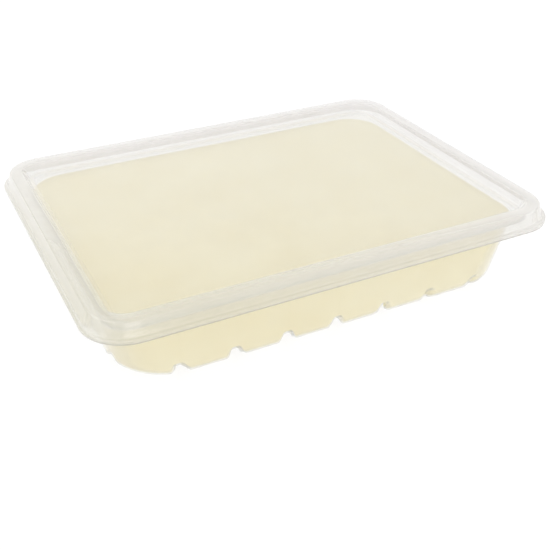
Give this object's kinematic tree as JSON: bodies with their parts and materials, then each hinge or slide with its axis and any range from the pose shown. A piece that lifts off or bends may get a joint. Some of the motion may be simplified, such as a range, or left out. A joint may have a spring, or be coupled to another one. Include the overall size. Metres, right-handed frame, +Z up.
{
  "type": "humidity dome tray",
  "caption": "Clear cell tray filled with cream growing plugs under a shallow clear press-on lid with a raised ring and a recessed panel.",
  "frame": {"origin": "middle of the footprint, on the surface that the feet stand on", "axes": "+X along the long side, +Y along the short side, +Z up"},
  "size_m": [0.3, 0.2264, 0.0543],
  "materials": {
    "clear_tray": "clear thermoformed PET sheet, gloss",
    "clear_lid": "clear thermoformed PET sheet, gloss with a slight haze",
    "growing_foam": "moist cream growing foam, matte and finely porous"
  },
  "bodies": {
    "tray": {"tray": "clear_tray"},
    "plug_sheet": {"plug_1_1": "growing_foam", "plug_1_2": "growing_foam", "plug_1_3": "growing_foam", "plug_1_4": "growing_foam", "plug_1_5": "growing_foam", "plug_1_6": "growing_foam", "plug_2_1": "growing_foam", "plug_2_2": "growing_foam", "plug_2_3": "growing_foam", "plug_2_4": "growing_foam", "plug_2_5": "growing_foam", "plug_2_6": "growing_foam", "plug_3_1": "growing_foam", "plug_3_2": "growing_foam", "plug_3_3": "growing_foam", "plug_3_4": "growing_foam", "plug_3_5": "growing_foam", "plug_3_6": "growing_foam", "plug_4_1": "growing_foam", "plug_4_2": "growing_foam", "plug_4_3": "growing_foam", "plug_4_4": "growing_foam", "plug_4_5": "growing_foam", "plug_4_6": "growing_foam", "plug_5_1": "growing_foam", "plug_5_2": "growing_foam", "plug_5_3": "growing_foam", "plug_5_4": "growing_foam", "plug_5_5": "growing_foam", "plug_5_6": "growing_foam", "plug_6_1": "growing_foam", "plug_6_2": "growing_foam", "plug_6_3": "growing_foam", "plug_6_4": "growing_foam", "plug_6_5": "growing_foam", "plug_6_6": "growing_foam", "plug_7_1": "growing_foam", "plug_7_2": "growing_foam", "plug_7_3": "growing_foam", "plug_7_4": "growing_foam", "plug_7_5": "growing_foam", "plug_7_6": "growing_foam", "plug_8_1": "growing_foam", "plug_8_2": "growing_foam", "plug_8_3": "growing_foam", "plug_8_4": "growing_foam", "plug_8_5": "growing_foam", "plug_8_6": "growing_foam"},
    "lid": {"lid": "clear_lid"}
  },
  "joints": [
    {"name": "plug_sheet_lift", "type": "slide", "parent": "tray", "child": "plug_sheet", "axis": [0, 0, 1], "range_m": [0, 0.05]},
    {"name": "lid_lift", "type": "slide", "parent": "plug_sheet", "child": "lid", "axis": [0, 0, 1], "range_m": [0, 0.08]}
  ]
}
